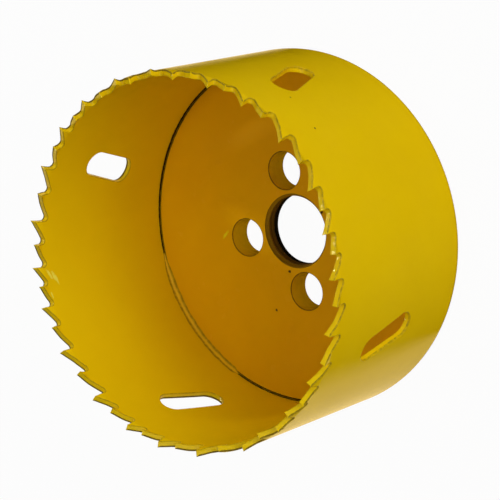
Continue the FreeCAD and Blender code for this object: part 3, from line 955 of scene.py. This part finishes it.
def tapped_hole(shell, around=216, spacing=0.055):
    """Adds the hole's wall from the inside face down to the back face; gives back its first and last rows."""
    turn = turns(around)
    heights = np.linspace(CAP_TOP - HOLE_EDGE, HOLE_EDGE, round(CAP_TOP / spacing))
    grid = hole_radius(turn[None, :], heights[:, None])
    places = spokes(turn) * grid[:, :, None] + UP * heights[:, None, None]
    along = np.roll(places, -1, axis=1) - np.roll(places, 1, axis=1)
    down = np.gradient(places, axis=0)
    normals = np.cross(along, down)
    rows = [shell.add(places[i], normals[i]) for i in range(len(heights))]
    shell.bands(rows, kind=1)
    ends = []
    for height, up, row, at in ((CAP_TOP, 1, rows[0], 0), (0.0, -1, rows[-1], -1)):
        circle, _ = ring(grid[at].mean() + HOLE_EDGE, height, around)
        edge = shell.add(circle, np.tile(UP * up, (around, 1)), HOLE_RIM_VALUE)
        if up > 0:
            shell.band(edge, row, kind=2)
        else:
            shell.band(row, edge)
        ends.append((edge, circle[:, :2]))
    return ends


bore_top, bore_back = tapped_hole(cap)
print("points with the thread:", cap.count)

# %% [markdown]
# ## The cap's two faces
# Both faces are flat with five holes, so they are filled straight from the rims' rows. The triangles that
# would close a hole are left out by asking for each triangle's middle.

# %% Fill the cap's faces
def cap_face(outer_row, bore_edge, row, flip):
    """Fills one flat face between its outer circle, the pin holes and the tapped hole."""
    outer_plan = np.concatenate(cap.points)[outer_row][:, :2]
    numbers, plans = zip((outer_row, outer_plan), *[rows[row] for rows in pins], bore_edge)
    plan, known = np.concatenate(plans), np.concatenate(numbers)
    return cap.face(plan, known, looped_sides(plans), plans[1:], 0 if flip else 2, flip)


print("inside face:", cap_face(spigot[-1], bore_top, 0, False))
print("back face:", cap_face(outside[0], bore_back, -1, True))
end_cap = cap.piece("end_cap_skin", [outer_lacquer, oily_thread_and_shade, cap_face_lacquer, open_joint, paler_lit_lacquer])
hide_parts("end_cap")
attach(end_cap, "root")

# %% [markdown]
# ## Lacquer that gathered in the joint
# Between the wall and the cap's spigot is a slit a quarter of a millimetre wide. Round most of the saw it
# stays open and looks black. Along about fifty degrees the wet lacquer filled it and dried as a small
# hollow fillet, darker because it is thick. A short profile swept along that arc is enough. It thins out
# slowly at its start and fast at its end, and swells a little unevenly between. Its two borders are
# darkest, and they fade again where the film runs out on the cap and on the wall.

# %% The fillet
POOL_START, POOL_END, POOL_SIZE, POOL_SINK = 35.0, 86.0, 1.15, 0.006
POOL_ACROSS, POOL_ALONG = 13, 103
POOL_RIM = ((0.0, 0.15, 0.45, 0.85, 1.0), (0.0, 0.6, 0.9, 0.95, 0.7))
pooled_lacquer = lacquered(
    "pooled_lacquer", thin=(0.93, 0.60, 0.006), deep=(0.88, 0.55, 0.004), edge=(0.42, 0.26, 0.003),
    roughness=0.16, edge_share=1.0, peel=0.6, run=1.6, bump=0.2)
pool = Shell()
sections = []
bend = np.radians(np.linspace(0, 90, POOL_ACROSS))
rim = np.interp(np.abs(np.linspace(-1, 1, POOL_ACROSS)), *POOL_RIM)
for turn in np.linspace(POOL_START, POOL_END, POOL_ALONG):
    swell = min(1.0, (turn - POOL_START) / 9 + 0.12, (POOL_END - turn) / 2.4 + 0.05)
    swell *= 0.92 + 0.08 * math.sin(turn * 0.9) * math.cos(turn * 0.37)
    out = np.array((math.cos(math.radians(turn)), math.sin(math.radians(turn)), 0.0))
    size = POOL_SIZE * swell
    radii = INNER - POOL_SINK - size * (1 - np.sin(bend))
    rises = CAP_TOP + POOL_SINK + size * (1 - np.cos(bend))
    places = out * radii[:, None] + UP * rises[:, None]
    normals = out * -np.sin(bend)[:, None] + UP * np.cos(bend)[:, None]
    sections.append(pool.add(places, normals, rim))
pool.bands(sections, closed=False)
joint_fillet = pool.piece("joint_fillet", [pooled_lacquer])
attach(joint_fillet, "root")

# %% [markdown]
# ## Floor and background
# The saw stands on its back face on a plain pale floor. In the picture the floor is paper white, and that
# comes from Light Path: what the camera sees directly, or through a clear thing, is nearly all plain white,
# and the rest is the lit floor itself, so a soft shadow stays. What the lacquer mirrors is another matter.
# A warm white sheet, which glows for mirrored rays only, lies behind the saw: it is a painted reflection, and
# its warm tint is painted bounce light from the yellow saw. Two half-planes in the floor's own coordinates
# say where that is. Their borders are soft, and beyond them the floor in front is black in mirrors, a painted
# dark reflection, which keeps the wall's yellow deep.

# %% Floor
SHEET_SIDES = (((-0.0373, 0.0039, 0), (0.793, 0.609, 0)), ((0.0153, -0.0343, 0), (-0.130, 0.991, 0)))
SHEET_STRENGTH = 1.15
PLAIN_SHARE = 0.96
FLOOR_HALF = 2.5


def floor_material():
    material = bpy.data.materials.new("pale_floor")
    material.use_nodes = True
    tree = material.node_tree
    tree.nodes.clear()
    place = add_node(tree, "ShaderNodeTexCoord").outputs["Object"]
    path = add_node(tree, "ShaderNodeLightPath").outputs
    masks = []
    for border, inward in SHEET_SIDES:
        way = vectors(tree, "NORMALIZE", vectors(tree, "SUBTRACT", place, border))
        masks.append(stretched(tree, vectors(tree, "DOT_PRODUCT", way, inward), 0.0, 0.42))
    beside = maths(tree, "GREATER_THAN", vectors(tree, "LENGTH", place), OUTER * MM)
    behind = maths(tree, "MULTIPLY", maths(tree, "MULTIPLY", *masks), beside)
    # Painted reflection: for mirrored rays the floor glows only behind the saw, and is black elsewhere.
    mirrored = maths(tree, "MULTIPLY", path["Is Glossy Ray"], behind)
    seen = maths(tree, "ADD", path["Is Camera Ray"], path["Is Transmission Ray"], clamp=True)
    white = maths(tree, "ADD", seen, maths(tree, "MULTIPLY", mirrored, SHEET_STRENGTH))
    plain = maths(tree, "MULTIPLY", seen, PLAIN_SHARE)
    share = maths(tree, "ADD", plain, path["Is Glossy Ray"], clamp=True)

    tone = stretched(tree, noise(tree, place, 260.0, 4.0), 0.0, 1.0, 0.78, 0.84)
    paper = add_node(tree, "ShaderNodeBsdfDiffuse", {"Color": tone}).outputs[0]
    # The warm tint for mirrored rays is painted bounce light from the yellow saw.
    painted_bounce_tint = blended(tree, path["Is Glossy Ray"], (1.0, 1.0, 1.0, 1.0), (1.0, 0.74, 0.30, 1.0))
    glow = add_node(tree, "ShaderNodeEmission", {"Color": painted_bounce_tint, "Strength": white}).outputs[0]
    mixed = add_node(tree, "ShaderNodeMixShader", {0: share, 1: paper, 2: glow}).outputs[0]
    add_node(tree, "ShaderNodeOutputMaterial", {"Surface": mixed})
    return material


floor_mesh = bpy.data.meshes.new("floor")
floor_corners = [(FLOOR_HALF * x, FLOOR_HALF * y, 0) for x, y in ((-1, -1), (1, -1), (1, 1), (-1, 1))]
floor_mesh.from_pydata(floor_corners, [], [(0, 1, 2, 3)])
floor_mesh.materials.append(floor_material())
floor = placed("floor", floor_mesh)
print("floor is", 2 * FLOOR_HALF, "m wide")

# %% [markdown]
# ## Light
# Soft studio light. Six wide windows stand on the viewer's side, each given by a turn round the saw and a
# rise above the floor: the strongest two are low and light the outer wall evenly, the others reach into the
# cup. Three small lamps stand above and behind, for the glints on the tooth flats.

# %% Lights
LAMP_DISTANCE = 1.2
AIM = Vector((0, 0, 0.022))
LAMPS = (
    ("front_window", -142, 28, 0.6, 2.9), ("low_side_window", -129, 12, 0.6, 3.4),
    ("side_window", -100, 25, 0.6, 1.3), ("left_window", -60, 30, 0.6, 0.8),
    ("right_window", 150, 62, 0.6, 1.05), ("high_window", -120, 60, 0.6, 0.6),
    ("glint_lamp", -60, 84, 0.06, 0.5), ("back_lamp", 38, 30, 0.12, 1.3),
    ("left_back_lamp", -8, 30, 0.10, 1.8))


def add_lamp(name, turn, rise, size, power):
    """A square area light at a turn from +X and a rise above the floor, in degrees, that faces the saw."""
    data = bpy.data.lights.new(name, "AREA")
    data.size = size
    data.energy = power
    made = placed(name, data)
    turn, rise = math.radians(turn), math.radians(rise)
    way = Vector((math.cos(rise) * math.cos(turn), math.cos(rise) * math.sin(turn), math.sin(rise)))
    made.matrix_world = aimed(AIM + way * LAMP_DISTANCE, AIM, PICTURE_UP)
    print(name, "stands at", [round(v, 2) for v in made.matrix_world.translation])


for lamp in LAMPS:
    add_lamp(*lamp)

# %% [markdown]
# ## The room
# The room round the saw is dim. Only the camera, and what is seen through a clear thing, gets the plain
# white of the background instead, and a low pale screen on the horizon is there for mirrored rays alone.

# %% World
SCREEN_HEIGHT, SCREEN_SHARE = 0.15, 0.6
world = bpy.data.worlds.new("dim_room")
bpy.context.scene.world = world
world.use_nodes = True
tree = world.node_tree
tree.nodes.clear()
path = add_node(tree, "ShaderNodeLightPath").outputs
clear = maths(tree, "MAXIMUM", path["Is Camera Ray"], path["Is Transmission Ray"])
direction = add_node(tree, "ShaderNodeTexCoord").outputs["Generated"]
rise = add_node(tree, "ShaderNodeSeparateXYZ", {0: direction}).outputs["Z"]
low = stretched(tree, rise, 0.0, SCREEN_HEIGHT, SCREEN_SHARE, 0.0, smooth=True)
shown = maths(tree, "MAXIMUM", clear, maths(tree, "MULTIPLY", path["Is Glossy Ray"], low))
room = add_node(tree, "ShaderNodeBackground", {"Color": (1.0, 0.99, 0.97, 1), "Strength": 0.12}).outputs[0]
white = add_node(tree, "ShaderNodeBackground", {"Color": (1, 1, 1, 1), "Strength": 1.0}).outputs[0]
both = add_node(tree, "ShaderNodeMixShader", {0: shown, 1: room, 2: white}).outputs[0]
add_node(tree, "ShaderNodeOutputWorld", {"Surface": both})
bpy.context.scene.view_settings.view_transform = "Standard"
print("world:", world.name)
